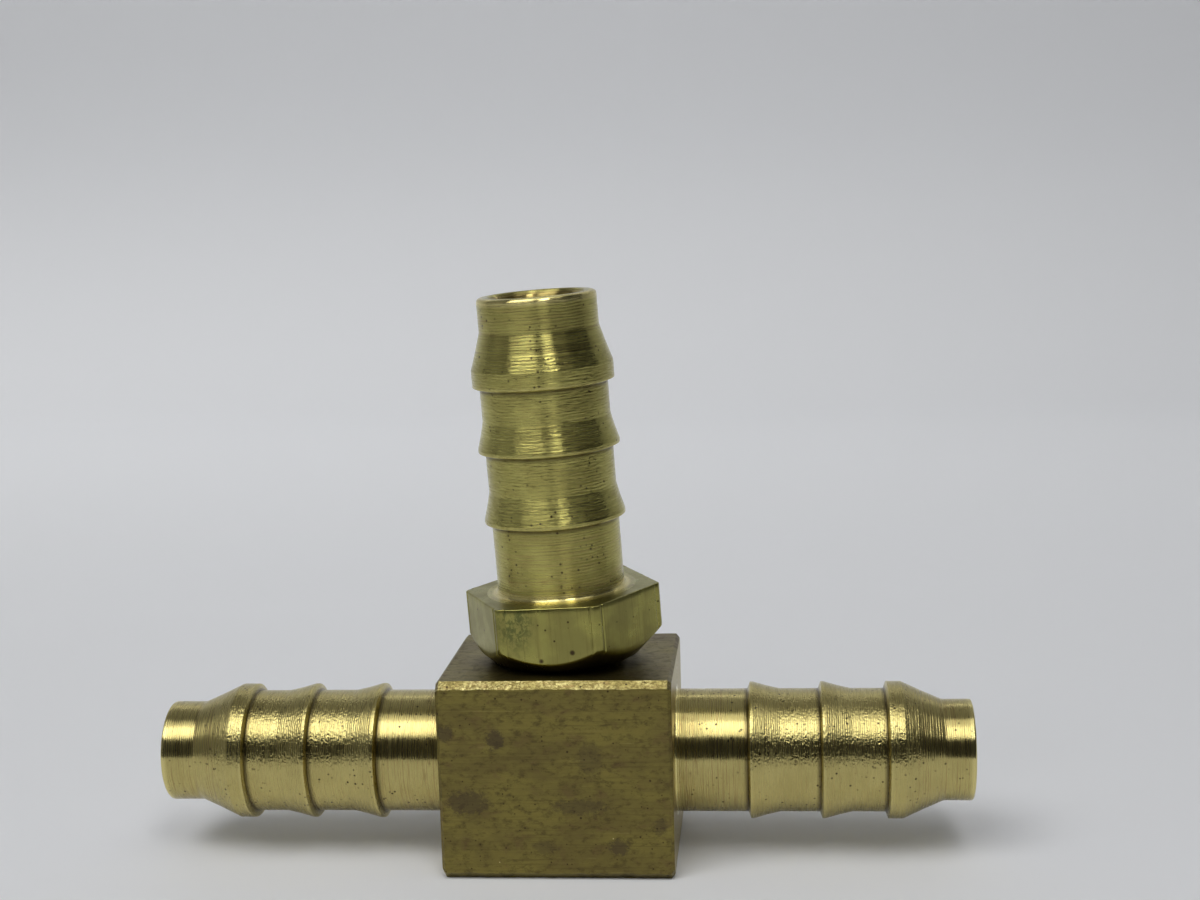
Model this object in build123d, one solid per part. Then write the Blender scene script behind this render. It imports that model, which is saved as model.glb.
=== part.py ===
from build123d import *
import math
import os

# Hose barb tee in brass. A length of square bar is turned down at both ends into hose
# tails, and a third hose tail with a hexagon collar screws into the top of the block.
#
# Millimetres, +Z up. +X runs along the two tails in line, which are called the run.
# The origin is the middle of the block's bottom face, on which the tee stands.
# The third tail, the branch, was screwed in a few degrees out of square.

# Square block
BAR_WIDTH = 16.0            # across the flats of the square bar
BLOCK_LENGTH = 18.4         # of full square section, along the run
BAR_EDGE = 0.55             # bevel on the four long edges of the bar
FACED_EDGE = 0.3            # bevel round each faced end of the block
CHUCK_OFFSET = 0.12         # the run was turned this far above the middle of the bar

# What all three hose tails share, because the same form tools cut them.
# Lengths follow one another outward from the face that the tail stands on.
FOOT_LENGTH = 5.65          # plain root next to the body
HEEL_SLOPE = 0.2            # the heel of a barb leans outward by this much as it rises
BARB_HEIGHT = 0.55          # from the root up to the crest
INNER_LAND = 0.25           # flat on the crest of the inner and middle barbs
INNER_CONE = 2.15           # length of their cones
FIRST_NECK = 3.1            # plain root between the inner and middle barbs
SECOND_NECK = 2.6           # plain root between the middle and tip barbs
CONE_HOLLOW = 0.03          # depth of the slight curve that the tool left in each cone

# Run tails
RUN_BORE = 6.5              # drilled right through
RUN_NOSE_WALL = 0.8
RUN_ROOT_STEP = 0.9         # from the nose up to the root
RUN_TIP_LAND = 1.15
RUN_TIP_CONE = 3.25
RUN_NOSE_LENGTH = 2.5
RUN_FOOT_BEVEL = 0.25       # in the corner between the root and the block
RUN_TIP_BEVEL = 0.15        # outside the end
RUN_BORE_EDGE = 0.3         # bevel inside the end

# Branch tail
BRANCH_BORE = 7.0           # drilled through the tail and its stub
BRANCH_NOSE_WALL = 1.25
BRANCH_ROOT_STEP = 0.35
BRANCH_TIP_LAND = 1.35
BRANCH_TIP_CONE = 2.9
BRANCH_NOSE_LENGTH = 2.7
BRANCH_FOOT_BEVEL = 0.5
BRANCH_TIP_BEVEL = 0.3
BRANCH_BORE_EDGE = 0.4

# Hexagon collar of the branch
HEX_FLATS = 13.9            # across the flats
HEX_CORNER = 0.55           # radius on the corners of the drawn bar
HEX_HEIGHT = 5.45           # from the seat to the top face
HEX_SEAT = 12.0             # diameter that the underside is turned down to
HEX_UNDERCUT = 45.0         # slope of the turned underside, degrees
HEX_CLOCK = 4.0             # turn of the hexagon from square with the block, degrees

# Screwed joint between the branch and the block
THREAD_PITCH_DIAMETER = 9.35   # the stub and the tapped hole meet at this diameter
STUB_LENGTH = 4.1           # below the seat
STUB_EDGE = 0.5             # bevel at the lower end of the stub
TAP_SPARE = 0.4             # tapped depth left below the stub
TAP_EDGE = 0.3              # bevel at the mouth of the tapped hole
CROSS_BORE = 6.5            # from the tapped hole down into the run bore
SEAT_GAP = 0.02             # under the low side of the tilted seat

# Place and tilt of the branch
BRANCH_OFFSET_X = 0.39      # where its axis leaves the top of the block
BRANCH_OFFSET_Y = 0.2
LEAN_LEFT = 2.9             # toward -X, degrees
LEAN_FRONT = 1.5            # toward -Y, degrees

# Worked out from the sizes above
RUN_HEIGHT = BAR_WIDTH / 2 + CHUCK_OFFSET
BARB_LENGTH = HEEL_SLOPE + INNER_LAND + INNER_CONE
TIP_HEEL = FOOT_LENGTH + 2 * BARB_LENGTH + FIRST_NECK + SECOND_NECK
RUN_TIP_LENGTH = RUN_TIP_LAND + RUN_TIP_CONE + RUN_NOSE_LENGTH
RUN_TAIL_LENGTH = TIP_HEEL + HEEL_SLOPE + RUN_TIP_LENGTH
RUN_LENGTH = BLOCK_LENGTH + 2 * RUN_TAIL_LENGTH
BRANCH_TIP_LENGTH = BRANCH_TIP_LAND + BRANCH_TIP_CONE + BRANCH_NOSE_LENGTH
BRANCH_TAIL_LENGTH = TIP_HEEL + HEEL_SLOPE + BRANCH_TIP_LENGTH

SIDEWAYS_SLOPE = math.tan(math.radians(LEAN_LEFT))
FORWARD_SLOPE = math.tan(math.radians(LEAN_FRONT))
BRANCH_DIRECTION = Vector(-SIDEWAYS_SLOPE, -FORWARD_SLOPE, 1)
BRANCH_LEAN = math.radians(BRANCH_DIRECTION.get_angle(Vector(0, 0, 1)))
# From the block's top face to the middle of the tilted seat, along the branch axis
SEAT_RISE = SEAT_GAP / math.cos(BRANCH_LEAN) + HEX_SEAT / 2 * math.tan(BRANCH_LEAN)
TAP_DEPTH = STUB_LENGTH + TAP_SPARE - SEAT_RISE


def turned(outline):
    """The solid of revolution of a closed outline of (radius, height) points about Z."""
    with BuildPart() as solid:
        with BuildSketch(Plane.XZ):
            with BuildLine():
                Polyline(*outline, close=True)
            make_face()
        revolve(axis=Axis.Z)
    return solid.part


def rod(diameter, bottom, top):
    """A plain cylinder on the Z axis between two heights."""
    return turned([(0, bottom), (diameter / 2, bottom), (diameter / 2, top), (0, top)])


def mouth_bevel(diameter, size, height):
    """A cone that cuts a 45 degree bevel where a bore meets an end face that looks up."""
    bottom = (diameter / 2, height - size)
    top = (diameter / 2 + 2 * size, height + size)
    return turned([(0, bottom[1]), bottom, top, (0, top[1])])


def hose_tail(bore, nose_wall, root_step, tip_land, tip_cone, nose_length, foot_bevel, tip_bevel):
    """A hose tail without its bore, standing on the XY plane with its axis along +Z. The
    outline runs from the foot outward, as radius against distance, and is turned about Z."""
    nose_r = bore / 2 + nose_wall
    root_r = nose_r + root_step
    crest_r = root_r + BARB_HEIGHT
    with BuildPart() as tail:
        with BuildSketch(Plane.XZ):
            with BuildLine():
                neck = (root_r, foot_bevel)
                Polyline((0, 0), (root_r + foot_bevel, 0), neck)
                heel = FOOT_LENGTH
                for next_neck in (FIRST_NECK, SECOND_NECK):
                    crest = heel + HEEL_SLOPE
                    cone = crest + INNER_LAND
                    Polyline(neck, (root_r, heel), (crest_r, crest), (crest_r, cone))
                    neck = (root_r, cone + INNER_CONE)
                    SagittaArc((crest_r, cone), neck, CONE_HOLLOW)
                    heel = cone + INNER_CONE + next_neck
                crest = heel + HEEL_SLOPE
                cone = crest + tip_land
                nose = cone + tip_cone
                tip = nose + nose_length
                Polyline(neck, (root_r, heel), (crest_r, crest), (crest_r, cone))
                SagittaArc((crest_r, cone), (nose_r, nose), CONE_HOLLOW)
                rim = (nose_r - tip_bevel, tip)
                Polyline((nose_r, nose), (nose_r, tip - tip_bevel), rim, (0, tip), (0, 0))
            make_face()
        revolve(axis=Axis.Z)
    return tail.part


def run_tail():
    """One of the two tails turned on the ends of the square bar."""
    return hose_tail(
        RUN_BORE, RUN_NOSE_WALL, RUN_ROOT_STEP, RUN_TIP_LAND, RUN_TIP_CONE,
        RUN_NOSE_LENGTH, RUN_FOOT_BEVEL, RUN_TIP_BEVEL,
    )


def branch_tail():
    """The tail on the branch, standing on its hexagon collar."""
    return hose_tail(
        BRANCH_BORE, BRANCH_NOSE_WALL, BRANCH_ROOT_STEP, BRANCH_TIP_LAND, BRANCH_TIP_CONE,
        BRANCH_NOSE_LENGTH, BRANCH_FOOT_BEVEL, BRANCH_TIP_BEVEL,
    )


def square_block():
    """The full section of the bar: long edges bevelled, and each end faced and broken."""
    with BuildPart() as block:
        Box(BLOCK_LENGTH, BAR_WIDTH, BAR_WIDTH, align=(Align.CENTER, Align.CENTER, Align.MIN))
        chamfer(block.edges().filter_by(Axis.X), BAR_EDGE)
        ends = block.faces().filter_by(Axis.X)
        chamfer(ends.edges(), FACED_EDGE)
    return block.part


def branch_place():
    """Where the branch stands: +Z leaves the block's top along the tilted axis."""
    return Plane(
        origin=(BRANCH_OFFSET_X, BRANCH_OFFSET_Y, BAR_WIDTH),
        x_dir=(1, 0, -BRANCH_DIRECTION.X),
        z_dir=BRANCH_DIRECTION,
    )


def hexagon_collar():
    """The collar, standing on its seat in the XY plane. Its underside is turned back from
    the corners to the seat, which leaves a scalloped lower edge on each flat."""
    seat_r = HEX_SEAT / 2
    corner_r = HEX_FLATS / 2 / math.cos(math.radians(30))
    rise = (corner_r - seat_r) * math.tan(math.radians(HEX_UNDERCUT))
    with BuildPart() as bar:
        with BuildSketch():
            RegularPolygon(corner_r, 6, rotation=-HEX_CLOCK)
            fillet(vertices(), HEX_CORNER)
        extrude(amount=HEX_HEIGHT)
    side = [(seat_r, 0), (corner_r, rise), (corner_r, HEX_HEIGHT)]
    return bar.part & turned([(0, 0), *side, (0, HEX_HEIGHT)])


def thread_stub():
    """The screwed stub below the seat, at the thread's pitch diameter."""
    stub_r = THREAD_PITCH_DIAMETER / 2
    side = [(stub_r - STUB_EDGE, -STUB_LENGTH), (stub_r, STUB_EDGE - STUB_LENGTH), (stub_r, 0)]
    return turned([(0, -STUB_LENGTH), *side, (0, 0)])


def run_body():
    """The block with its two tails, bored through, tapped in the top for the branch."""
    half_block = BLOCK_LENGTH / 2
    half_run = RUN_LENGTH / 2
    run_axis = Location((0, 0, RUN_HEIGHT))
    body = square_block()
    bore = rod(RUN_BORE, -half_run, half_run)
    for side in (-1, 1):
        outward = run_axis * Rotation(0, side * 90, 0)
        body += outward * Pos(0, 0, half_block) * run_tail()
        body -= outward * mouth_bevel(RUN_BORE, RUN_BORE_EDGE, half_run)
    body -= run_axis * Rotation(0, 90, 0) * bore
    tapped_hole = rod(THREAD_PITCH_DIAMETER, -TAP_DEPTH, BAR_WIDTH)
    tapped_hole += mouth_bevel(THREAD_PITCH_DIAMETER, TAP_EDGE, 0)
    tapped_hole += rod(CROSS_BORE, RUN_HEIGHT - BAR_WIDTH, 0)
    body -= branch_place().location * tapped_hole
    return body


def branch_hose_tail():
    """The branch as one turned piece: stub, hexagon collar and hose tail, bored through."""
    tip = HEX_HEIGHT + BRANCH_TAIL_LENGTH
    branch = hexagon_collar() + thread_stub()
    branch += Pos(0, 0, HEX_HEIGHT) * branch_tail()
    branch -= rod(BRANCH_BORE, -STUB_LENGTH, tip)
    branch -= mouth_bevel(BRANCH_BORE, BRANCH_BORE_EDGE, tip)
    return branch_place().location * Pos(0, 0, SEAT_RISE) * branch


os.makedirs("parts", exist_ok=True)
for name, shape in (("run_body", run_body()), ("branch_hose_tail", branch_hose_tail())):
    export_step(shape, f"parts/{name}.step")
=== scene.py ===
import math

import bpy
from mathutils import Matrix, Vector, noise


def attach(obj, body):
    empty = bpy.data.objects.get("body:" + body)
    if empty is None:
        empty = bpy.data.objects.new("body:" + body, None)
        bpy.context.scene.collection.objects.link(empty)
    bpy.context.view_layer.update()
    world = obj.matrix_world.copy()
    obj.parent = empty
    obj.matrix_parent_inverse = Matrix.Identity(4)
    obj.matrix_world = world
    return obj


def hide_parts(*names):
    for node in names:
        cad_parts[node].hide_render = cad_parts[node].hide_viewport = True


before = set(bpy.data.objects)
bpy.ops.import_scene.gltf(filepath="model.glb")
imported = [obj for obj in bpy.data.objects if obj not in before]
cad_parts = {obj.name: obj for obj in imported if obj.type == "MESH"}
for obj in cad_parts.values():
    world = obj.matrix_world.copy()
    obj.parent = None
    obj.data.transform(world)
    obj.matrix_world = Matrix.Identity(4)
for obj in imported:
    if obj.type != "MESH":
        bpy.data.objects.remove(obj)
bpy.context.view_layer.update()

# A brass hose barb tee: a square bar turned down to a hose tail at both ends, and a hexagon
# tail screwed into its top at a slight lean. Sizes are in millimetres, as in the CAD source,
# and turn into metres when a mesh is made.
MM = 0.001
FULL_TURN = 2 * math.pi
QUARTER_TURN = math.pi / 2

# The square bar. Its bores are given by their radii, as all bores here.
BAR = 16.0
HALF_BLOCK = 9.2            # half the length left square
BAR_EDGE = 0.55             # cut along the bar's long corners
FACED_EDGE = 0.3            # cut round the block's end faces
RUN_HEIGHT = 8.12           # of the run's axis above the floor
RUN_BORE = 3.25
CROSS_BORE = 3.25           # between the run's bore and the tapped hole
TAIL_TIP = 23.65            # from the block's end face to the tip of a run tail

# The branch, which leans left and forward.
LEAN_LEFT = math.radians(2.9)
LEAN_FRONT = math.radians(1.5)
BRANCH_FOOT = Vector((0.39, 0.2, BAR))
SEAT_RISE = 0.362           # from the block's top to the middle of the tilted seat
HEX_HEIGHT = 5.45
HEX_FLATS = 13.9
HEX_CORNER = 0.55           # radius of the hexagon's corners
HEX_SEAT = 6.0              # radius of the collar's round seat
HEX_CLOCK = math.radians(4.0)       # how far the hexagon is turned about its axis
BRUISE = 0.07               # how flat the front right corner has been knocked
STUB_RADIUS = 4.675
STUB_LENGTH = 4.1
TAP_DEPTH = 4.138
BRANCH_BORE = 3.5
BRANCH_TIP = 23.7           # from the collar's top to the tip
COLLAR_TOP = SEAT_RISE + HEX_HEIGHT

# How finely curves are cut.
TURNED_POINTS = 256         # round a turned surface
CORNER_STEPS = 5            # across a rounded corner of a profile
PLAIN_STEP = 0.3            # along a profile
GROOVE_STEP = 0.045         # along a profile where grooves are cut
HOLE_POINTS = 96            # round a drilled hole
COLLAR_COLUMNS = 720        # round the collar


# ---------------------------------------------------------------- placing

def run_place(side):
    """Local +Z points outward along a run tail and starts on the block's end face."""
    turn = Matrix.Rotation(side * QUARTER_TURN, 4, "Y")
    return Matrix.Translation(Vector((side * HALF_BLOCK, 0, RUN_HEIGHT)) * MM) @ turn


def branch_place():
    """Local +Z runs up the tilted branch, and starts where its axis leaves the block."""
    up = Vector((-math.tan(LEAN_LEFT), -math.tan(LEAN_FRONT), 1)).normalized()
    along = Vector((1, 0, -up.x / up.z)).normalized()
    across = up.cross(along)
    turn = Matrix((along, across, up)).transposed().to_4x4()
    return Matrix.Translation(BRANCH_FOOT * MM) @ turn


# ---------------------------------------------------------------- meshes

def make_piece(name, points, faces, place, finish, nodes, marks=None):
    """A smooth-shaded piece that rides with the part and stands for its CAD nodes. The
    points keep their places along the piece's own axes, for its finish."""
    mesh = bpy.data.meshes.new(name)
    mesh.from_pydata([place @ (Vector(p) * MM) for p in points], [], faces)
    own = mesh.attributes.new("own_place", "FLOAT_VECTOR", "POINT")
    own.data.foreach_set("vector", [value for p in points for value in p])
    if marks:
        layer = mesh.color_attributes.new("finish", "FLOAT_COLOR", "POINT")
        for spot, value in zip(layer.data, marks):
            spot.color = value
    mesh.polygons.foreach_set("use_smooth", [True] * len(mesh.polygons))
    mesh.materials.append(finish)
    mesh.update()
    piece = bpy.data.objects.new(name, mesh)
    bpy.context.scene.collection.objects.link(piece)
    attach(piece, "root")
    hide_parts(*nodes)
    return piece


def soften(corners):
    """A profile of (distance, radius, blend, mark) corners with each corner rounded by its
    blend radius, as a list of (distance, radius, mark), where the mark is 0 away from the
    corners."""
    nearly_straight = math.pi - 0.02
    share = 0.45            # of a straight stretch that one corner's rounding may take
    out = [(corners[0][0], corners[0][1], 0.0)]
    for before, here, after in zip(corners, corners[1:], corners[2:]):
        blend = here[2]
        mark = here[3]
        p = Vector(here[:2])
        to_before = Vector(before[:2]) - p
        to_after = Vector(after[:2]) - p
        angle = to_before.angle(to_after)
        if blend <= 0 or angle > nearly_straight:
            out.append((p.x, p.y, 0.0))
            continue
        reach = blend / math.tan(angle / 2)
        reach = min(reach, to_before.length * share, to_after.length * share)
        start = p + to_before.normalized() * reach
        stop = p + to_after.normalized() * reach
        for n in range(CORNER_STEPS + 1):
            t = n / CORNER_STEPS
            q = start.lerp(p, t).lerp(p.lerp(stop, t), t)
            out.append((q.x, q.y, mark))
    out.append((corners[-1][0], corners[-1][1], 0.0))
    return out


def fill_in(profile, step):
    """Adds points so that no stretch of the profile is longer than step(distance)."""
    out = [profile[0]]
    for a, b in zip(profile, profile[1:]):
        length = math.hypot(b[0] - a[0], b[1] - a[1])
        count = max(1, math.ceil(length / step((a[0] + b[0]) / 2)))
        for n in range(1, count + 1):
            t = n / count
            mark = b[2] if n == count or a[2] == b[2] else 0.0
            out.append((a[0] + (b[0] - a[0]) * t, a[1] + (b[1] - a[1]) * t, mark))
    return out


def turn_profile(profile, shift, marks_at):
    """Turns a profile about Z and closes it from its last ring to its first. shift(distance,
    radius, angle, mark) moves a point outward, and marks_at(distance, radius, mark) says how
    much painted shade, wear and painted highlight it has, whether inside, and how pebbled it is."""
    points = []
    marks = []
    for distance, radius, mark in profile:
        value = marks_at(distance, radius, mark)
        for n in range(TURNED_POINTS):
            angle = FULL_TURN * n / TURNED_POINTS
            r = radius + shift(distance, radius, angle, mark)
            points.append((r * math.cos(angle), r * math.sin(angle), distance))
            marks.append(value)
    faces = []
    for row in range(len(profile)):
        a = row * TURNED_POINTS
        b = (row + 1) % len(profile) * TURNED_POINTS
        for n in range(TURNED_POINTS):
            m = (n + 1) % TURNED_POINTS
            faces.append((a + n, a + m, b + m, b + n))
    return points, faces, marks


# ---------------------------------------------------------------- hose tails

SHADED_CORNER = -1.0                # mark of an inside corner, painted dark as shade
WORN_AND_HIGHLIT = 1.0                  # mark of a corner painted bright: outside corners rubbed bright, and the foot's rounding as a painted highlight
LIP = 0.4                   # mark of a barb's heel, which is rubbed a little
SUNK = 0.012                # how far a tail's foot sits in the face it stands on
FOOT_SPREAD = 0.35          # how far the foot reaches past its rounding
HEEL = 0.2                  # how far a barb's steep heel leans outward
HOLLOW = 0.03               # how far the middle of a cone lies below a straight line
CREST_WIDTH = 0.25          # of the two inner barbs
CONE_LENGTH = 2.15          # of the two inner barbs


def tail_corners(heels, root, crest, nose, tip_crest, tip_cone, tip, round_tip, foot, bore, mouth):
    """Corners of a tail's outline from its foot outward, over the tip and into the bore, and
    the stretch of the tail that is pebbled."""
    corners = [
        (-SUNK, root + foot + FOOT_SPREAD, 0, 0),
        (SUNK / 2, root + foot, 0, 0),
        # the foot's rounding is painted bright as a highlight, though it is an inside corner
        (0.0, root, foot, WORN_AND_HIGHLIT),
    ]
    for heel in heels:
        is_tip = heel == heels[-1]
        width = tip_crest if is_tip else CREST_WIDTH
        length = tip_cone if is_tip else CONE_LENGTH
        end = nose if is_tip else root
        middle = heel + HEEL + width + length / 2
        # the inside corner at each heel is painted dark as shade
        corners.append((heel, root, 0.08, SHADED_CORNER))
        corners.append((heel + HEEL, crest, 0.05, LIP))
        corners.append((heel + HEEL + width, crest, 0.12 if is_tip else 0.08, 0))
        corners.append((middle, (crest + end) / 2 - HOLLOW, 0.9, 0))
        corners.append((heel + HEEL + width + length, end, 0.6 if is_tip else 0.7, 0))
    corners.append((tip, nose, round_tip, WORN_AND_HIGHLIT))
    corners.append((tip, bore + mouth, 0.12, 0))
    corners.append((tip - mouth, bore, 0.1, 0))
    return corners, (heels[0], middle)


def uneven(distance, angle, scale, seed):
    """Smooth unevenness of about -1 to 1 over a turned surface."""
    place = Vector((math.cos(angle) * scale, math.sin(angle) * scale, distance * scale / 3 + seed))
    return noise.noise(place)


def make_tail(name, place, outline, seed, grooved, finish, node):
    """A hose tail. grooved is the stretch with coarse tool grooves, or None."""
    corners, pebbled_stretch = outline
    outside = 3.9           # every radius of the outside is larger than this
    inside = BRANCH_BORE + 0.2      # every radius past a mouth is smaller than this
    broad_waves = 0.012
    groove_pitch = 0.235
    groove_depth = 0.009
    groove_torn = 0.006
    groove_fade = 0.3       # length over which the grooves begin and end
    bore_rows = 8

    def in_grooves(distance):
        return grooved and grooved[0] < distance < grooved[1]

    def step(distance):
        return GROOVE_STEP if in_grooves(distance) else PLAIN_STEP

    def shift(distance, radius, angle, mark):
        if radius < outside and mark == 0:
            return 0.0
        small_waves = 0.02 if mark > 0 else 0.006
        small = uneven(distance, angle, 5.0, seed)
        broad = uneven(distance, angle, 1.2, seed + 9)
        moved = small_waves * small + broad_waves * broad
        if in_grooves(distance):
            fade = min(1, (distance - grooved[0]) / groove_fade, (grooved[1] - distance) / groove_fade)
            groove = math.sin(FULL_TURN * (distance / groove_pitch + angle / FULL_TURN))
            torn = uneven(distance * 9, angle, 0.8, seed + 3)
            moved += fade * (groove_depth * groove + groove_torn * torn)
        return moved

    def marks_at(distance, radius, mark):
        # painted shade in the inside corners
        painted_shade = 1.0 if mark < 0 else 0.0
        # wear, and the painted highlight in the foot's rounding
        worn_and_highlit = max(0.0, mark)
        within = 1.0 if radius < inside else 0.0
        start, end = pebbled_stretch
        pebbled = min(1.0, max(0.0, distance - start + 0.5), max(0.0, 2 * (end - distance)))
        return (painted_shade, worn_and_highlit, within, pebbled)

    profile = fill_in(soften(corners), step)
    mouth_end = profile[-1]
    for n in range(1, bore_rows + 1):
        down = (-SUNK - mouth_end[0]) * n / bore_rows
        profile.append((mouth_end[0] + down, mouth_end[1], 0.0))
    points, faces, marks = turn_profile(profile, shift, marks_at)
    return make_piece(name, points, faces, place, finish, [node], marks)


# ---------------------------------------------------------------- material graphs

class Nodes:
    """A shader node tree, written as short calls."""

    def __init__(self, tree):
        self.tree = tree
        tree.nodes.clear()

    def add(self, kind, inputs=None, **settings):
        node = self.tree.nodes.new(kind)
        for key, value in settings.items():
            setattr(node, key, value)
        for key, value in (inputs or {}).items():
            self.put(node.inputs[key], value)
        return node

    def put(self, socket, value):
        if isinstance(value, bpy.types.NodeSocket):
            self.tree.links.new(value, socket)
        else:
            socket.default_value = value

    def math(self, operation, a, b=0.0):
        return self.add("ShaderNodeMath", {0: a, 1: b}, operation=operation).outputs[0]

    def vector(self, operation, a, b):
        key = 3 if operation == "SCALE" else 1
        return self.add("ShaderNodeVectorMath", {0: a, key: b}, operation=operation).outputs[0]

    def measure(self, operation, a, b=(0, 0, 0)):
        """LENGTH of a, DISTANCE from a to b or DOT_PRODUCT of the two."""
        return self.add("ShaderNodeVectorMath", {0: a, 1: b}, operation=operation).outputs["Value"]

    def between(self, value, low, high, to_low=0.0, to_high=1.0, smooth=True):
        """Goes from to_low where the value is low, to to_high where it is high."""
        inputs = {"Value": value, "From Min": low, "From Max": high, "To Min": to_low, "To Max": to_high}
        kind = "SMOOTHSTEP" if smooth else "LINEAR"
        return self.add("ShaderNodeMapRange", inputs, interpolation_type=kind).outputs[0]


class Finish(Nodes):
    """A material. Lengths in it are millimetres. It follows the piece's own axes, or else
    those of the whole part."""

    def __init__(self, name, own_place=True):
        self.material = bpy.data.materials.new(name)
        self.material.use_nodes = True
        super().__init__(self.material.node_tree)
        if own_place:
            self.at = self.add("ShaderNodeAttribute", attribute_name="own_place").outputs["Vector"]
        else:
            coordinates = self.add("ShaderNodeTexCoord")
            self.at = self.vector("SCALE", coordinates.outputs["Object"], 1 / MM)

    def noise(self, factors, detail=3.0, roughness=0.55, distortion=0.0):
        """Noise whose lumps are about 1/factor millimetres wide along each axis."""
        inputs = {"Vector": self.vector("MULTIPLY", self.at, factors), "Scale": 1.0, "Detail": detail,
                  "Roughness": roughness, "Distortion": distortion}
        return self.add("ShaderNodeTexNoise", inputs).outputs[0]

    def mix(self, factor, a, b):
        node = self.add("ShaderNodeMix", data_type="RGBA")
        self.put(node.inputs[0], factor)
        self.put(node.inputs[6], a)
        self.put(node.inputs[7], b)
        return node.outputs[2]

    def cover(self, colour, mask, strength, tint):
        """Lays a tint over the colour where the mask is 1, at the given strength."""
        return self.mix(self.math("MULTIPLY", mask, strength), colour, tint)

    def specks(self, spacing, size, share):
        """Small round marks of about size, in the given share of the cells of spacing."""
        place = self.vector("MULTIPLY", self.at, (1 / spacing,) * 3)
        cells = self.add("ShaderNodeTexVoronoi", {"Vector": place, "Scale": 1.0})
        near = self.between(cells.outputs["Distance"], size / spacing, 0.4 * size / spacing)
        pick = self.add("ShaderNodeSeparateColor", {0: cells.outputs["Color"]}).outputs[0]
        return self.math("MULTIPLY", near, self.between(pick, 1 - share - 0.001, 1 - share))

    def blotch(self, centre, radii):
        """A stain at a place on the X-Z face, with a ragged edge."""
        ragged = 3.0
        offset = self.vector("SUBTRACT", self.at, (centre[0], 0, centre[1]))
        scaled = self.vector("MULTIPLY", offset, (1 / radii[0], 0, 1 / radii[1]))
        rough = self.noise((2.4, 2.4, 2.8), 7.0, 0.85)
        edge = self.math("MULTIPLY", self.math("SUBTRACT", rough, 0.5), ragged)
        return self.between(self.math("ADD", self.measure("LENGTH", scaled), edge), 1.05, 0.65)

    def marks(self):
        """The piece's marks: painted shade, wear with painted highlight, inside and pebbled."""
        node = self.add("ShaderNodeAttribute", attribute_name="finish")
        parts = self.add("ShaderNodeSeparateColor", {0: node.outputs["Color"]})
        return [*parts.outputs, node.outputs["Alpha"]]

    def bump(self, height, depth, normal=None):
        """depth is the height in millimetres that a change of 1 in height stands for."""
        node = self.add("ShaderNodeBump", {"Height": height, "Distance": depth * MM, "Strength": 1.0})
        if normal:
            self.put(node.inputs["Normal"], normal)
        return node.outputs[0]

    def metal(self, colour, roughness, normal, brushed=0.0, axis="Z"):
        """Ends the material as metal. brushed is how strongly it is brushed round the axis."""
        shader = self.add("ShaderNodeBsdfPrincipled", {"Base Color": colour, "Metallic": 1.0,
                                                      "Roughness": roughness, "Normal": normal})
        if brushed:
            tangent = self.add("ShaderNodeTangent", direction_type="RADIAL", axis=axis)
            self.put(shader.inputs["Anisotropic"], brushed)
            self.put(shader.inputs["Anisotropic Rotation"], 0.25)
            self.put(shader.inputs["Tangent"], tangent.outputs[0])
        output = self.add("ShaderNodeOutputMaterial")
        self.tree.links.new(shader.outputs[0], output.inputs[0])
        return self.material


# ---------------------------------------------------------------- finishes

# bright brass: rubbed marks, and the painted highlight in the tails' foot rounding
RUBBED_AND_HIGHLIGHT = (0.76, 0.66, 0.28, 1)
BRIGHT = (0.54, 0.46, 0.18, 1)
OLIVE = (0.45, 0.375, 0.14, 1)
BROWN = (0.30, 0.20, 0.08, 1)
DARK = (0.07, 0.05, 0.025, 1)
BRANCH_CLEAN = (0.51, 0.465, 0.145, 1)
BRANCH_DULL = (0.34, 0.295, 0.09, 1)
BAR_CLEAN = (0.26, 0.215, 0.06, 1)
BAR_DULL = (0.20, 0.16, 0.052, 1)
BAR_MOTTLED = (0.115, 0.09, 0.036, 1)
BAR_REDDISH = (0.17, 0.10, 0.055, 1)
BAR_DARK_LINE = (0.11, 0.085, 0.035, 1)
BAR_LIGHT_LINE = (0.44, 0.37, 0.13, 1)
BAR_STAIN = (0.095, 0.072, 0.043, 1)
EDGE_DULL = (0.46, 0.39, 0.14, 1)
EDGE_BRIGHT = (0.72, 0.63, 0.27, 1)
EDGE_PITTED = (0.24, 0.19, 0.065, 1)
FACE_DULL = (0.42, 0.34, 0.15, 1)
HEX_CLEAN = (0.36, 0.335, 0.095, 1)
HEX_DULL = (0.285, 0.26, 0.08, 1)
HEX_DARK_LINE = (0.22, 0.18, 0.06, 1)
HEX_STAIN = (0.09, 0.11, 0.04, 1)
HEX_MOTTLED = (0.14, 0.13, 0.05, 1)
PALE = (0.82, 0.83, 0.85, 1)

# Stains on the bar's flats: centre along X and up, half width and half height, and strength.
STAINS = [
    ((-4.6, 11.4), (0.75, 1.0), 0.75),
    ((2.8, 9.8), (1.1, 1.5), 0.4),
    ((-8.5, 11.9), (0.7, 0.7), 0.7),
    ((-6.9, 6.3), (1.9, 1.1), 0.65),
    ((1.9, 6.0), (2.4, 0.7), 0.55),
    ((4.9, 2.7), (0.9, 0.7), 0.7),
    ((8.2, 4.5), (0.6, 0.8), 0.5),
    ((-0.9, 2.7), (1.1, 0.6), 0.4),
]

# Places on the collar, along its own axes: the stain on its front flat, at the left end
# near the top, and two dark pits.
HEX_STAIN_PLACE = (-3.1, -6.95, 4.6)
HEX_STAIN_REACH = (1.8, 1.8, 2.6)
HEX_PITS = [(-1.2, -7.0, 1.6), (1.3, -7.0, 2.2)]


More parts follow.
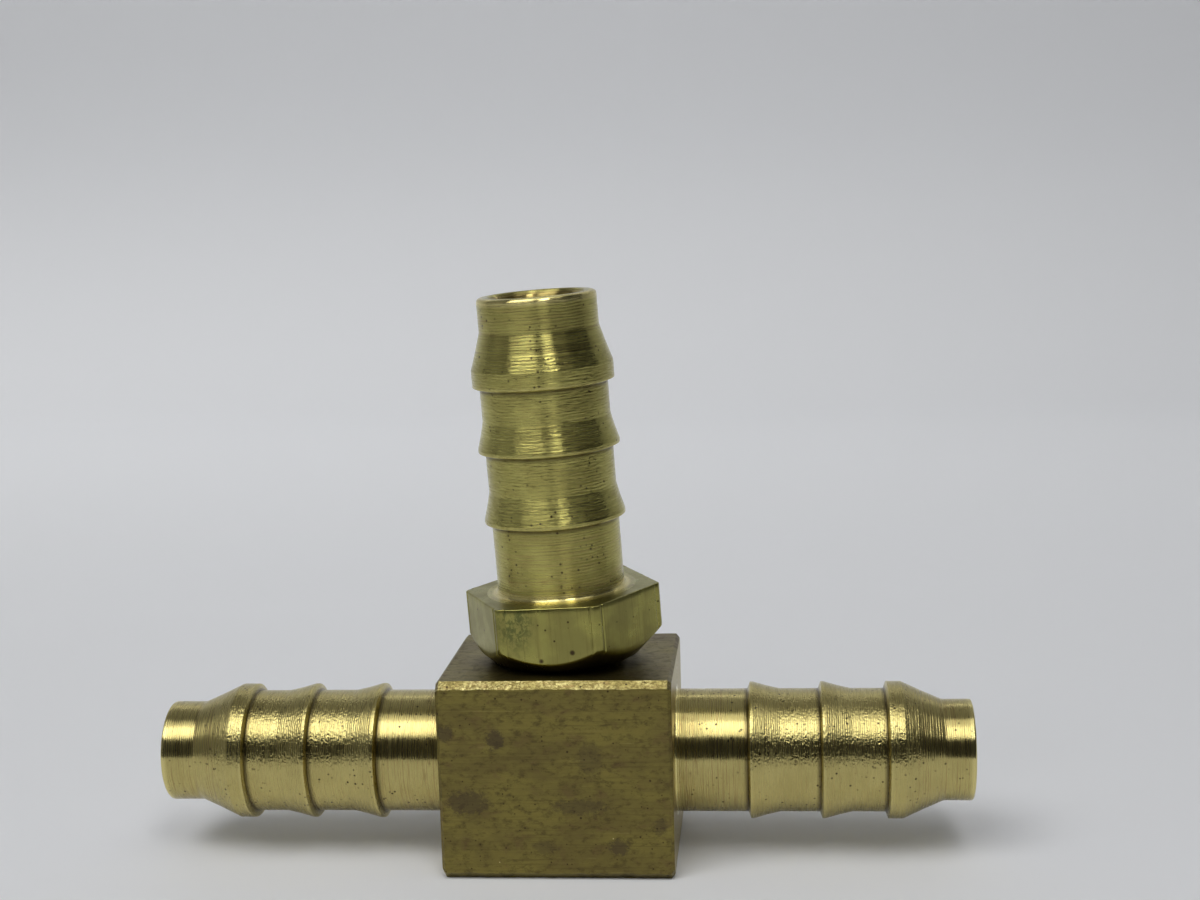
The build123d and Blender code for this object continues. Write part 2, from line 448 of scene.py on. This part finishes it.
def turned_brass(name, axis, clean, dull, rough, brushed, pitch, groove, grain_size, streaks):
    """Brass cut on a lathe about the axis: feed grooves of a pitch and depth round it and dark
    streaks along them, a pebbled grain on the barbs, and specks, dull and brown patches."""
    g = Finish(name)
    torn = 0.05             # depth of the pebbled grain
    painted_shade, worn_and_highlit, inside, pebbled = g.marks()
    along = g.add("ShaderNodeSeparateXYZ", {0: g.at}).outputs[2]
    drift = g.math("MULTIPLY", g.noise((0.5, 0.5, 1.2), 2.0), 9.0)
    waves = g.math("SINE", g.math("ADD", g.math("MULTIPLY", along, FULL_TURN / pitch), drift))
    lines = g.noise((0.16, 0.16, 9.0), 3.0, 0.7)
    grain = g.noise(grain_size, 2.0, 0.5)
    patch = g.between(g.noise((0.28, 0.28, 0.35), 3.0), 0.42, 0.62)
    brown = g.between(g.noise((0.5, 0.5, 2.4), 4.0), 0.56, 0.74)
    near_foot = g.between(along, 4.0, 0.5)
    crowd = g.between(g.noise((0.45, 0.45, 0.6), 3.0), 0.46, 0.6)
    streak_strength = g.between(pebbled, 0, 1, streaks, 0.06)
    colour = g.cover(clean, patch, 0.5, dull)
    colour = g.cover(colour, brown, g.between(near_foot, 0, 1, 0.2, 0.6), BROWN)
    colour = g.cover(colour, g.between(lines, 0.48, 0.36), streak_strength, BROWN)
    colour = g.cover(colour, g.specks(0.4, 0.13, 0.45), crowd, DARK)
    colour = g.mix(g.specks(1.1, 0.13, 0.16), colour, DARK)
    # rubbed corners painted bright, and a painted highlight in the foot's rounding
    colour = g.cover(colour, worn_and_highlit, 0.85, RUBBED_AND_HIGHLIGHT)
    # painted shade: the inside corners at the heels are darkened
    colour = g.cover(colour, painted_shade, 0.75, DARK)
    colour = g.cover(colour, inside, 0.6, BROWN)
    roughness = g.between(lines, 0.3, 0.7, rough - 0.05, rough + 0.07)
    normal = g.bump(waves, groove)
    normal = g.bump(lines, groove * 3, normal)
    normal = g.bump(g.math("MULTIPLY", grain, pebbled), torn, normal)
    return g.metal(colour, roughness, normal, brushed, axis)


def drawn_brass():
    """The tarnished flats of the drawn bar: fine lines along X, stains and specks."""
    g = Finish("drawn_brass", own_place=False)
    lines = g.noise((0.12, 4.5, 4.5), 6.0, 0.8)
    fine = g.noise((0.5, 16.0, 16.0), 2.0)
    cloud = g.noise((0.2, 0.3, 0.4), 4.0, 0.6)
    mottle = g.noise((1.3, 1.6, 2.2), 6.0, 0.75, 0.3)
    warm = g.noise((0.5, 0.6, 0.8), 5.0, 0.7, 0.5)
    crowd = g.between(g.noise((0.6, 0.6, 0.6), 3.0), 0.42, 0.6)
    colour = g.mix(g.between(cloud, 0.36, 0.66), BAR_CLEAN, BAR_DULL)
    colour = g.cover(colour, g.between(mottle, 0.48, 0.66), 0.75, BAR_MOTTLED)
    colour = g.cover(colour, g.between(warm, 0.52, 0.68), 0.35, BAR_REDDISH)
    colour = g.cover(colour, g.between(lines, 0.5, 0.36), 0.5, BAR_DARK_LINE)
    colour = g.cover(colour, g.between(lines, 0.58, 0.7), 0.5, BAR_LIGHT_LINE)
    for centre, radii, strength in STAINS:
        colour = g.cover(colour, g.blotch(centre, radii), strength, BAR_STAIN)
    colour = g.cover(colour, g.specks(0.4, 0.09, 0.4), crowd, DARK)
    colour = g.mix(g.specks(1.1, 0.13, 0.25), colour, DARK)
    colour = g.mix(g.specks(1.5, 0.09, 0.14), colour, RUBBED_AND_HIGHLIGHT)
    roughness = g.between(mottle, 0.35, 0.7, 0.36, 0.5)
    normal = g.bump(lines, 0.008)
    normal = g.bump(fine, 0.002, normal)
    normal = g.bump(mottle, 0.006, normal)
    return g.metal(colour, roughness, normal)


def bevel_brass():
    """The bar's bright upper corners, scratched and pitted along their length."""
    g = Finish("bevel_brass", own_place=False)
    streak = g.noise((0.8, 4.0, 4.0), 5.0, 0.75)
    grain = g.noise((3.5, 4.5, 4.5), 4.0, 0.8)
    brown = g.between(g.noise((0.9, 2.0, 2.0), 5.0, 0.7), 0.52, 0.66)
    stretch = g.between(g.noise((0.35, 0.5, 0.5), 3.0), 0.4, 0.6)
    clean = g.mix(stretch, EDGE_DULL, EDGE_BRIGHT)
    colour = g.mix(g.between(grain, 0.6, 0.42), clean, EDGE_PITTED)
    colour = g.cover(colour, brown, 0.6, BROWN)
    colour = g.mix(g.specks(0.45, 0.12, 0.3), colour, DARK)
    roughness = g.between(streak, 0.3, 0.7, 0.3, 0.45)
    normal = g.bump(streak, 0.03)
    normal = g.bump(grain, 0.06, normal)
    return g.metal(colour, roughness, normal)


def faced_brass():
    """The block's end faces, cut across in the lathe: rings round the tail's axis."""
    g = Finish("faced_brass", own_place=False)
    offset = g.vector("SUBTRACT", g.at, (0, 0, RUN_HEIGHT))
    radius = g.measure("LENGTH", g.vector("MULTIPLY", offset, (0, 1, 1)))
    ring_inputs = {"W": radius, "Scale": 5.0, "Detail": 3.0}
    rings = g.add("ShaderNodeTexNoise", ring_inputs, noise_dimensions="1D").outputs[0]
    patch = g.between(g.noise((0.4, 0.4, 0.4), 3.0), 0.4, 0.6)
    colour = g.mix(patch, OLIVE, FACE_DULL)
    colour = g.mix(g.specks(0.9, 0.12, 0.2), colour, DARK)
    roughness = g.between(rings, 0.3, 0.7, 0.28, 0.38)
    return g.metal(colour, roughness, g.bump(rings, 0.006))


def bore_brass():
    """Drilled holes: dull, with tool marks."""
    g = Finish("bore_brass", own_place=False)
    marks = g.noise((0.6, 0.6, 0.6), 4.0)
    colour = g.mix(g.between(marks, 0.4, 0.6), OLIVE, BROWN)
    roughness = g.between(marks, 0.3, 0.7, 0.38, 0.5)
    return g.metal(colour, roughness, g.bump(marks, 0.01))


def hexagon_brass():
    """The collar's drawn flats: lines up and down, a green-black stain and dark pits."""
    g = Finish("hexagon_brass")
    painted_shade = g.marks()[0]
    lines = g.noise((4.0, 4.0, 0.12), 5.0, 0.7)
    fine = g.noise((11.0, 11.0, 0.4), 2.0)
    cloud = g.noise((0.35, 0.35, 0.3), 4.0)
    mottle = g.noise((2.6, 2.6, 1.6), 6.0, 0.85, 0.4)
    offset = g.vector("SUBTRACT", g.at, HEX_STAIN_PLACE)
    scaled = g.vector("MULTIPLY", offset, [1 / reach for reach in HEX_STAIN_REACH])
    near_stain = g.between(g.measure("LENGTH", scaled), 1.2, 0.3)
    stain = g.math("MULTIPLY", near_stain, g.between(mottle, 0.44, 0.56))
    colour = g.mix(g.between(cloud, 0.38, 0.64), HEX_CLEAN, HEX_DULL)
    colour = g.cover(colour, g.between(lines, 0.5, 0.34), 0.45, HEX_DARK_LINE)
    colour = g.cover(colour, g.between(lines, 0.6, 0.72), 0.3, BRIGHT)
    colour = g.cover(colour, stain, 0.75, HEX_STAIN)
    colour = g.cover(colour, g.between(mottle, 0.58, 0.7), 0.4, HEX_MOTTLED)
    for pit in HEX_PITS:
        colour = g.mix(g.between(g.measure("DISTANCE", g.at, pit), 0.28, 0.12), colour, DARK)
    colour = g.mix(g.specks(0.6, 0.12, 0.14), colour, DARK)
    # painted shade under the collar, on its stub and in its bore
    colour = g.cover(colour, painted_shade, 0.8, DARK)
    roughness = g.between(cloud, 0.35, 0.65, 0.26, 0.36)
    normal = g.bump(lines, 0.009)
    normal = g.bump(fine, 0.002, normal)
    return g.metal(colour, roughness, normal)


def sheet_paper():
    """The pale sheet, with painted light: a glow that only the camera and the metal see makes
    it lighter further back, and lighter to the left than to the right. The camera sees it pale
    far off as well, where the lamps don't reach."""
    g = Finish("sheet_paper", own_place=False)
    paper = g.add("ShaderNodeBsdfPrincipled", {"Base Color": PALE, "Roughness": 0.65,
                                              "Specular IOR Level": 0.4})
    place = g.add("ShaderNodeSeparateXYZ", {0: g.at}).outputs
    # painted light, lighter to the left than to the right
    side = g.between(place[0], -300.0, 300.0, 1.4, 0.5, smooth=False)
    back = g.between(place[1], -60.0, 280.0, 0.0, 0.29)
    high = g.between(place[2], 5.0, 110.0, 1.0, 0.45)
    far = g.between(g.measure("LENGTH", g.at), 430.0, 640.0, 0.0, 0.6)
    path = g.add("ShaderNodeLightPath").outputs
    seen = g.math("MAXIMUM", path["Is Camera Ray"], path["Is Glossy Ray"])
    # painted light, which the metal reflects as well
    near_glow = g.math("MULTIPLY", g.math("MULTIPLY", g.math("MULTIPLY", back, high), side), seen)
    far_glow = g.math("MULTIPLY", far, path["Is Camera Ray"])
    glow = g.add("ShaderNodeEmission", {"Color": PALE, "Strength": g.math("ADD", near_glow, far_glow)})
    both = g.add("ShaderNodeAddShader", {0: paper.outputs[0], 1: glow.outputs[0]})
    output = g.add("ShaderNodeOutputMaterial")
    g.tree.links.new(both.outputs[0], output.inputs[0])
    return g.material


# ---------------------------------------------------------------- the run

bore_finish = bore_brass()
run_finish = turned_brass(
    "run_tail_brass", "X", BRIGHT, OLIVE, rough=0.26, brushed=0.9, pitch=0.17, groove=0.0045,
    grain_size=(4.5, 4.5, 6.0), streaks=0.5,
)


def run_outline(heels):
    """A run tail's corners. The heels are measured from the block's end face."""
    return tail_corners(
        heels=heels, root=4.95, crest=5.5, nose=4.05, tip_crest=1.15, tip_cone=3.25,
        tip=TAIL_TIP, round_tip=0.25, foot=0.3, bore=RUN_BORE, mouth=0.3,
    )


def bar_section(inset, x):
    """Points round the square bar at a place along it. The edges are cut at 45 degrees,
    and the cuts wander a little along the bar."""
    flat_steps = 28
    edge_steps = 6
    half = BAR / 2 - inset
    points = []
    for corner in range(4):
        wander = 0.07 * noise.noise(Vector((x * 0.9, corner * 7.3, 0)))
        wander += 0.04 * noise.noise(Vector((x * 3.1, corner * 5.1, 4)))
        cut = BAR_EDGE + wander
        turn = corner * QUARTER_TURN
        width = BAR - 2 * cut - 2 * inset
        outline = [(half, -half + cut + width * n / flat_steps) for n in range(flat_steps + 1)]
        for n in range(1, edge_steps):
            t = n / edge_steps
            rough = 0.012 * noise.noise(Vector((x * 4, corner * 3.7 + n, 9)))
            outline.append((half - cut * t + rough, half - cut * (1 - t) + rough))
        for u, v in outline:
            y = u * math.cos(turn) - v * math.sin(turn)
            z = u * math.sin(turn) + v * math.cos(turn)
            points.append((x, y, z + BAR / 2))
    return points


def hole_cutter(name, radius, start, end, place):
    """A round cutter along local Z, to be taken out of the block."""
    points = []
    for height in (start, end):
        for n in range(HOLE_POINTS):
            angle = FULL_TURN * n / HOLE_POINTS
            points.append(Vector((radius * math.cos(angle), radius * math.sin(angle), height)) * MM)
    faces = []
    for n in range(HOLE_POINTS):
        m = (n + 1) % HOLE_POINTS
        faces.append((n, m, HOLE_POINTS + m, HOLE_POINTS + n))
    faces.append(tuple(reversed(range(HOLE_POINTS))))
    faces.append(tuple(range(HOLE_POINTS, 2 * HOLE_POINTS)))
    mesh = bpy.data.meshes.new(name)
    mesh.from_pydata(points, [], faces)
    mesh.materials.append(bore_finish)
    cutter = bpy.data.objects.new(name, mesh)
    bpy.context.scene.collection.objects.link(cutter)
    cutter.matrix_world = place
    return cutter


def drill(block):
    """Takes the run's bore, the tapped hole and the cross bore out of the block."""
    past = 3                # how far a cutter reaches past the face it enters
    through = 20            # half the length of the run's cutter
    along_run = Matrix.Translation((0, 0, RUN_HEIGHT * MM)) @ Matrix.Rotation(QUARTER_TURN, 4, "Y")
    cutters = [
        hole_cutter("cut_run", RUN_BORE, -through, through, along_run),
        hole_cutter("cut_tap", STUB_RADIUS, -TAP_DEPTH, past, branch_place()),
        hole_cutter("cut_cross", CROSS_BORE, RUN_HEIGHT - BAR, past, branch_place()),
    ]
    for cutter in cutters:
        cut = block.modifiers.new(cutter.name, "BOOLEAN")
        cut.operation = "DIFFERENCE"
        cut.solver = "EXACT"
        cut.object = cutter
        cut.material_mode = "TRANSFER"
    bpy.context.view_layer.update()
    drilled = block.evaluated_get(bpy.context.evaluated_depsgraph_get())
    block_mesh = bpy.data.meshes.new_from_object(drilled)
    block.modifiers.clear()
    block.data = block_mesh
    for cutter in cutters:
        bpy.data.objects.remove(cutter)


def make_block():
    """The square middle of the run body, cut at its edges and drilled."""
    count = 60              # stretches along the block
    inner = HALF_BLOCK - FACED_EDGE
    left_edge = [
        (-HALF_BLOCK, FACED_EDGE),
        (-HALF_BLOCK + 0.04, FACED_EDGE - 0.06),
        (-HALF_BLOCK + FACED_EDGE - 0.04, 0.02),
    ]
    stations = left_edge + [(-inner + 2 * inner * n / count, 0.0) for n in range(count + 1)]
    stations += [(-x, inset) for x, inset in reversed(left_edge)]
    points = []
    for x, inset in stations:
        points += bar_section(inset, x)
    size = len(points) // len(stations)
    faces = []
    for row in range(len(stations) - 1):
        for n in range(size):
            a = row * size + n
            b = row * size + (n + 1) % size
            faces.append((a, b, b + size, a + size))
    faces.append(tuple(reversed(range(size))))
    faces.append(tuple(range(len(points) - size, len(points))))
    block = make_piece("block", points, faces, Matrix.Identity(4), drawn_brass(),
                       ["run_body"])
    for finish in (bevel_brass(), faced_brass(), bore_finish):
        block.data.materials.append(finish)
    drill(block)

    # Of the drawn surface, the end faces are faced and the upper corners are bright. The lower
    # corners, cut alike, stay as dull as the flats: painted shade.
    drawn, bevelled, faced = range(3)
    for face in block.data.polygons:
        normal = face.normal
        if face.material_index == drawn:
            if abs(normal.x) > 0.95:
                face.material_index = faced
            elif abs(normal.y) > 0.3 and normal.z > 0.3:
                face.material_index = bevelled
        face.use_smooth = False
    return block


make_tail("left_tail", run_place(-1), run_outline((5.55, 11.2, 16.35)), 3.0, None,
          run_finish, "run_body")
make_tail("right_tail", run_place(1), run_outline((5.73, 11.45, 16.7)), 7.0, (18.2, 21.4),
          run_finish, "run_body")
make_block()


# ---------------------------------------------------------------- the branch

def hexagon_radius(angle):
    """Distance from the axis to the hexagon at an angle, with rounded corners. The front
    right corner has a flat bruise."""
    sides = 6
    side_angle = 60
    bruised_corner = 5
    radius = math.inf
    for n in range(sides):
        away = angle - (math.radians(30 + side_angle * n) - HEX_CLOCK)
        if math.cos(away) > 0.3:
            radius = min(radius, HEX_FLATS / 2 / math.cos(away))
    corner = (HEX_FLATS / 2 - HEX_CORNER) / math.cos(math.radians(30))
    for n in range(sides):
        away = angle - (math.radians(side_angle * n) - HEX_CLOCK)
        away = (away + math.pi) % FULL_TURN - math.pi
        if abs(away) < math.radians(8):
            inside = HEX_CORNER ** 2 - (corner * math.sin(away)) ** 2
            if inside > 0:
                radius = min(radius, corner * math.cos(away) + math.sqrt(inside))
            if n == bruised_corner:
                radius = min(radius, (corner + HEX_CORNER - BRUISE) / math.cos(away))
    return radius


def collar_column(angle):
    """The collar's outline at an angle, as (height, radius, shade), from the foot of the stub up
    the outside, over the top and down the bore. Shade is 1 where the collar is painted dark as
    shade: on the stub, the seat, the underside and the bore."""
    full = hexagon_radius(angle)
    burr = 0.03 * max(0, noise.noise(Vector((math.cos(angle) * 9, math.sin(angle) * 9, 1))))
    rise = full - HEX_SEAT              # the underside turns back at 45 degrees
    soft = 0.03                         # how far the sharp edges are softened
    lowest = rise + soft
    highest = HEX_HEIGHT - 0.08
    flat_rows = 10
    under_tail = 5.2                    # a radius that the tail's foot covers
    stub = [(-STUB_LENGTH, STUB_RADIUS, 1), (0.0, STUB_RADIUS, 1)]
    seat = [(0.0, HEX_SEAT - 0.1, 1), (soft, HEX_SEAT, 1)]
    underside = [(rise * t, HEX_SEAT + rise * t, 1) for t in (0.25, 0.5, 0.75)]
    flat = [(rise - soft, full - soft, 0), (lowest, full, 0)]
    for n in range(1, flat_rows + 1):
        flat.append((lowest + (highest - lowest) * n / flat_rows, full, 0))
    edge = [(HEX_HEIGHT - soft + burr, full - soft, 0), (HEX_HEIGHT + burr, full - 0.09, 0)]
    top = [(HEX_HEIGHT, full - 0.2, 0), (HEX_HEIGHT, full - 0.5, 0), (HEX_HEIGHT, under_tail, 0)]
    bore = [(HEX_HEIGHT, BRANCH_BORE, 1), (-STUB_LENGTH, BRANCH_BORE, 1)]
    return stub + seat + underside + flat + edge + top + bore


def make_collar():
    """The hexagon with its turned-back underside, the threaded stub below it and the bore
    through them, column by column round the axis."""
    points = []
    marks = []
    for n in range(COLLAR_COLUMNS):
        angle = FULL_TURN * n / COLLAR_COLUMNS
        for height, radius, painted_shade in collar_column(angle):
            points.append((radius * math.cos(angle), radius * math.sin(angle), height + SEAT_RISE))
            marks.append((painted_shade, 0, 0, 0))
    rows = len(points) // COLLAR_COLUMNS
    faces = []
    for n in range(COLLAR_COLUMNS):
        a = n * rows
        b = (n + 1) % COLLAR_COLUMNS * rows
        for row in range(rows):
            after = (row + 1) % rows
            faces.append((a + row, b + row, b + after, a + after))
    return make_piece("branch_collar", points, faces, branch_place(), hexagon_brass(),
                      ["branch_hose_tail"], marks)


branch_finish = turned_brass(
    "branch_tail_brass", "Z", BRANCH_CLEAN, BRANCH_DULL, rough=0.25, brushed=1.0, pitch=0.24,
    groove=0.003, grain_size=(1.3, 1.3, 5.5), streaks=0.45,
)
branch_outline = tail_corners(
    heels=(5.65, 11.35, 16.55), root=5.1, crest=5.65, nose=4.75, tip_crest=1.35, tip_cone=2.9,
    tip=BRANCH_TIP, round_tip=0.45, foot=0.8, bore=BRANCH_BORE, mouth=0.4,
)
tail_place = branch_place() @ Matrix.Translation((0, 0, COLLAR_TOP * MM))
make_collar()
make_tail("branch_tail", tail_place, branch_outline, 12.0, None,
          branch_finish, "branch_hose_tail")


# ---------------------------------------------------------------- stage

# Soft pale parts of the dim room: direction, outer and inner degrees, and strength.
ROOM = [
    ((-1.0, 0.3, 0.3), 60, 15, 0.15),
    ((-0.9, -0.4, 0.15), 30, 0, 0.12),
    ((0.2, 0.5, 1.0), 40, 10, 0.25),
]
ROOM_LEVEL = 0.03           # of the rest of the room
CAMERA_LEVEL = 0.55         # what the camera sees past the sheet
ROOM_COLOUR = (0.97, 0.985, 1.0, 1)

# Lamps that face the part: name, azimuth and elevation of the middle, width and height, all in
# degrees as seen from the part, and radiance. Azimuth 0 is the camera's side, + to its right.
LAMPS = [
    ("left_lamp", -34, 53, 38, 26, 3.5),
    ("right_lamp", 22, 54, 12, 28, 5.5),
    ("top_lamp", 10, 77, 60, 22, 1.4),
    ("back_lamp", 180, 41, 70, 1.8, 2.3),
]
LAMP_DISTANCE = 450
LAMP_AIM = Vector((0, 0, 15))

CAMERA_PLACE = Vector((16.64, -141.1, 52.91))
CAMERA_YAW = math.radians(-5.35)
CAMERA_PITCH = math.radians(9.63)
CAMERA_ROLL = math.radians(1.67)
SENSOR = 36.0
LENS = 53.892
FRAME_RISE = 1 / 24         # of the frame's width, to frame the part low in the picture


def make_stage():
    """A pale sheet that lies flat and sweeps up behind the part."""
    half_width = 1500.0
    front = 1500.0
    back = 360.0
    top = 480.0
    bend = 70.0
    bend_steps = 16
    line = [(-front, 0.0), (-400.0, 0.0), (0.0, 0.0), (back - bend, 0.0)]
    for n in range(1, bend_steps + 1):
        angle = QUARTER_TURN * n / bend_steps
        line.append((back - bend + bend * math.sin(angle), bend - bend * math.cos(angle)))
    line += [(back, 200.0), (back, top)]
    points = []
    for y, z in line:
        points.append(Vector((-half_width, y, z)) * MM)
        points.append(Vector((half_width, y, z)) * MM)
    faces = [(2 * n, 2 * n + 1, 2 * n + 3, 2 * n + 2) for n in range(len(line) - 1)]
    mesh = bpy.data.meshes.new("sheet")
    mesh.from_pydata(points, [], faces)
    mesh.polygons.foreach_set("use_smooth", [True] * len(mesh.polygons))
    mesh.materials.append(sheet_paper())
    sheet = bpy.data.objects.new("sheet", mesh)
    bpy.context.scene.collection.objects.link(sheet)


def make_world():
    """The dim room, and plain pale for what the camera sees directly."""
    world = bpy.data.worlds.new("room")
    bpy.context.scene.world = world
    world.use_nodes = True
    g = Nodes(world.node_tree)
    toward = g.add("ShaderNodeTexCoord").outputs["Generated"]
    level = ROOM_LEVEL
    for direction, outer, inner, strength in ROOM:
        nearness = g.measure("DOT_PRODUCT", toward, Vector(direction).normalized())
        outer_edge = math.cos(math.radians(outer))
        inner_edge = math.cos(math.radians(inner))
        patch = g.between(nearness, outer_edge, inner_edge)
        level = g.math("ADD", level, g.math("MULTIPLY", patch, strength))
    path = g.add("ShaderNodeLightPath")
    blend_inputs = {0: path.outputs["Is Camera Ray"], 2: level, 3: CAMERA_LEVEL}
    blend = g.add("ShaderNodeMix", blend_inputs, data_type="FLOAT")
    background = g.add("ShaderNodeBackground", {"Color": ROOM_COLOUR, "Strength": blend.outputs[0]})
    output = g.add("ShaderNodeOutputWorld")
    g.tree.links.new(background.outputs[0], output.inputs[0])


def make_lamp(name, azimuth, elevation, width, height, radiance):
    """A flat lamp that faces the part. Its numbers are as in LAMPS."""
    a = math.radians(azimuth)
    e = math.radians(elevation)
    away = Vector((math.sin(a) * math.cos(e), -math.cos(a) * math.cos(e), math.sin(e)))
    data = bpy.data.lights.new(name, "AREA")
    data.shape = "RECTANGLE"
    data.size = 2 * LAMP_DISTANCE * math.tan(math.radians(width / 2)) * MM
    data.size_y = 2 * LAMP_DISTANCE * math.tan(math.radians(height / 2)) * MM
    data.energy = radiance * math.pi * data.size * data.size_y
    lamp = bpy.data.objects.new(name, data)
    bpy.context.scene.collection.objects.link(lamp)
    lamp.location = (away * LAMP_DISTANCE + LAMP_AIM) * MM
    lamp.rotation_mode = "QUATERNION"
    lamp.rotation_quaternion = away.to_track_quat("Z", "Y")
    lamp.visible_camera = False


def make_camera():
    """The camera, turned about the vertical, then down, then about its own line of sight."""
    data = bpy.data.cameras.new("camera")
    data.sensor_width = SENSOR
    data.lens = LENS
    data.shift_y = FRAME_RISE
    data.clip_start = 0.005
    data.clip_end = 10
    camera = bpy.data.objects.new("camera", data)
    bpy.context.scene.collection.objects.link(camera)
    level_part = math.cos(CAMERA_PITCH)
    forward = Vector((math.sin(CAMERA_YAW) * level_part, math.cos(CAMERA_YAW) * level_part,
                      -math.sin(CAMERA_PITCH)))
    level_right = Vector((math.cos(CAMERA_YAW), -math.sin(CAMERA_YAW), 0))
    level_down = forward.cross(level_right)
    right = level_right * math.cos(CAMERA_ROLL) + level_down * math.sin(CAMERA_ROLL)
    down = level_down * math.cos(CAMERA_ROLL) - level_right * math.sin(CAMERA_ROLL)
    turn = Matrix((right, -down, -forward)).transposed().to_4x4()
    camera.matrix_world = Matrix.Translation(CAMERA_PLACE * MM) @ turn
    bpy.context.scene.camera = camera


make_stage()
make_world()
for lamp_row in LAMPS:
    make_lamp(*lamp_row)
make_camera()
bpy.context.scene.view_settings.view_transform = "Standard"
